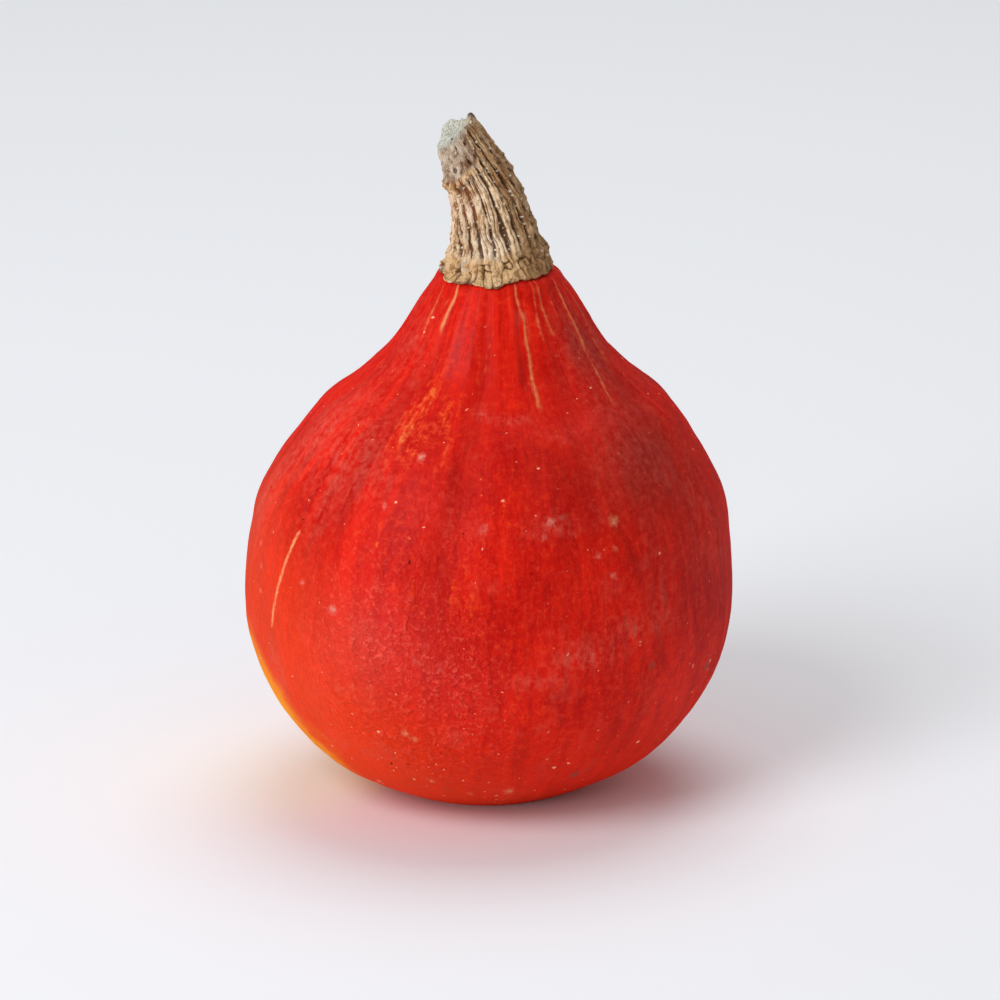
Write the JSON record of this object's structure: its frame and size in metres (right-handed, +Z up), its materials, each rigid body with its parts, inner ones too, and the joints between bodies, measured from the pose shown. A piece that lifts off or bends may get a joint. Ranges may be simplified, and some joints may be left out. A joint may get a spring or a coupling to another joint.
{
  "type": "red kuri squash (small pumpkin) with its stem",
  "caption": "Small teardrop-shaped red pumpkin of the Hokkaido kind, with a short neck and a curved, corky, ridged stem cut short; it stands upright.",
  "frame": {"origin": "on the surface it stands on, under the middle of its outline seen from above", "axes": "+Z up through the fruit to the stem, front towards -Y, the stem leans towards -X"},
  "size_m": [0.1556, 0.1526, 0.2196],
  "materials": {
    "rind": "satin, waxy, finely pebbled red-orange rind with dusty scuffs and pale streaks at the neck",
    "cork": "dry, matt, ridged corky bark with dark brown grooves"
  },
  "bodies": {
    "root": {"fruit": "rind", "stem": "cork"}
  },
  "joints": []
}
